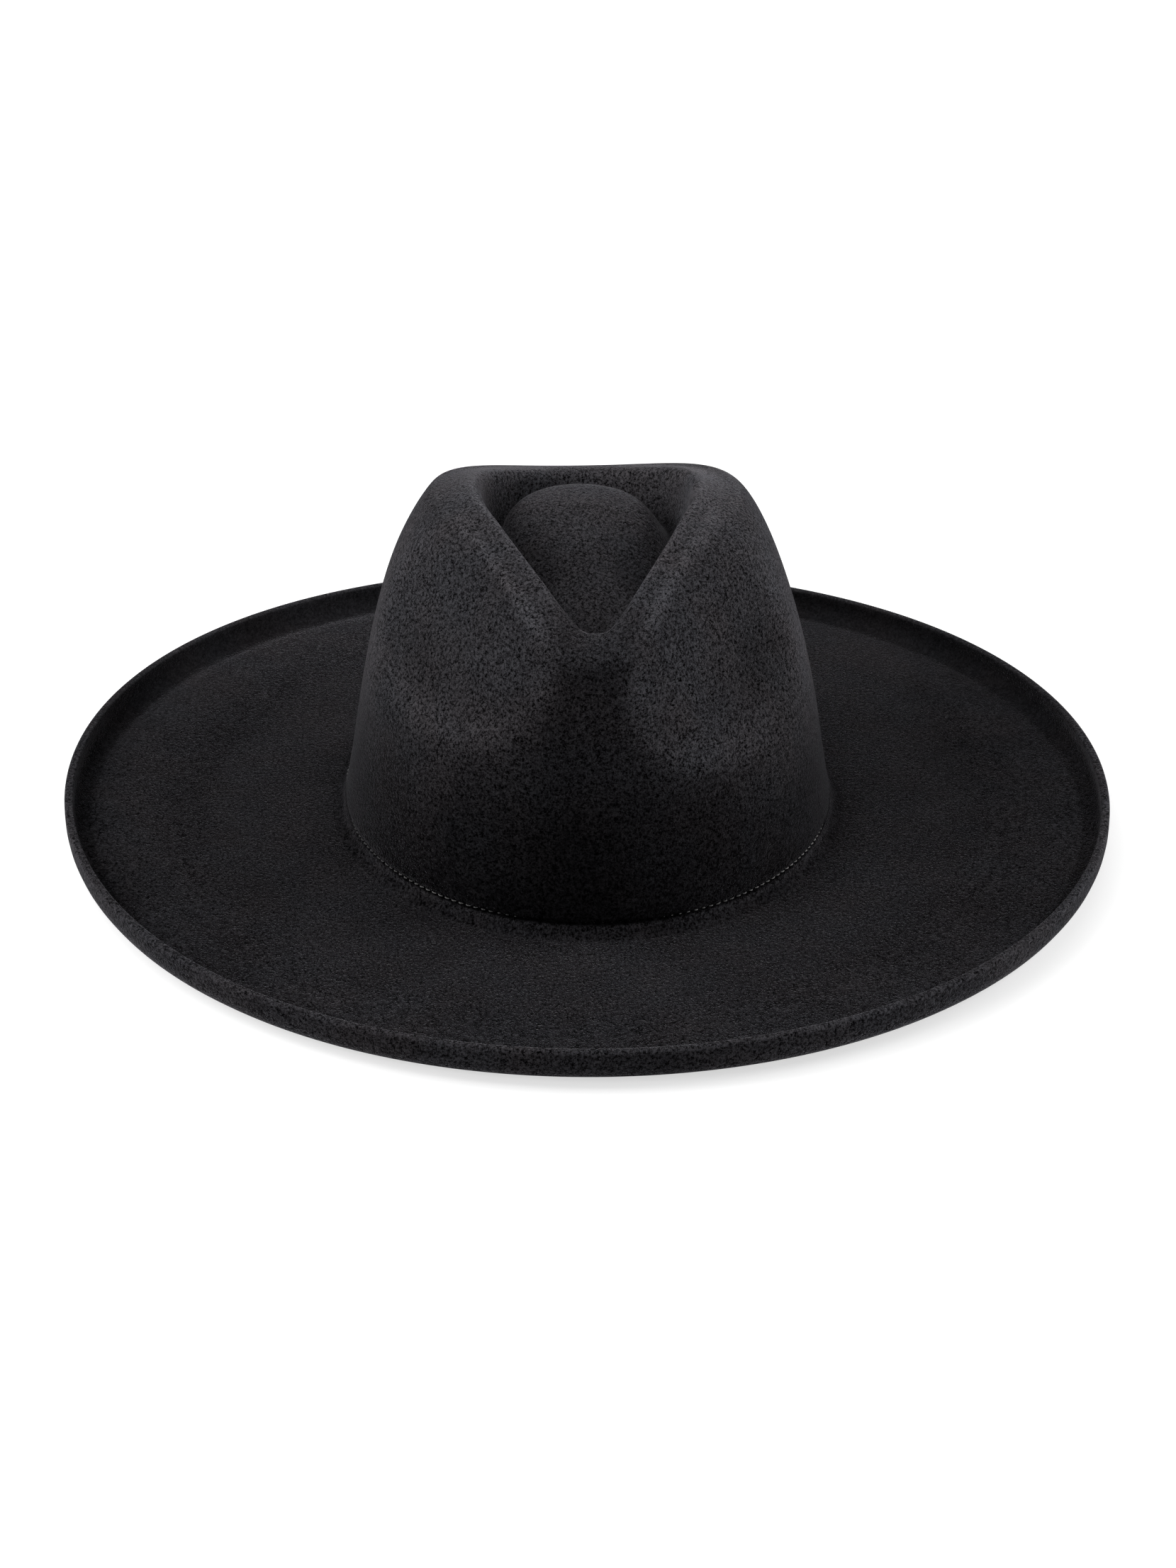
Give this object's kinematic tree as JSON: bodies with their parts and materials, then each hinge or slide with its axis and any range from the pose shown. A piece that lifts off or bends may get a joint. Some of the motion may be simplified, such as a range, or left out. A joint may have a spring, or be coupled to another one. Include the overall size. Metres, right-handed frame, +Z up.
{
  "type": "fedora",
  "caption": "Wide-brimmed black felt fedora with a teardrop crown, two front pinches and an upturned brim edge, open below for the head.",
  "frame": {"origin": "under the middle of the hat's box, in the plane of the brim's flat underside", "axes": "+Z up through the crown, the front of the hat faces -Y, +Y towards its back"},
  "size_m": [0.3722, 0.3912, 0.1157],
  "materials": {
    "felt": "matt black wool felt with a short velvety nap",
    "band_ribbon": "black ribbed ribbon",
    "thread": "grey sewing thread"
  },
  "bodies": {
    "root": {"felt_body": "felt", "sweatband": "band_ribbon"}
  },
  "joints": []
}
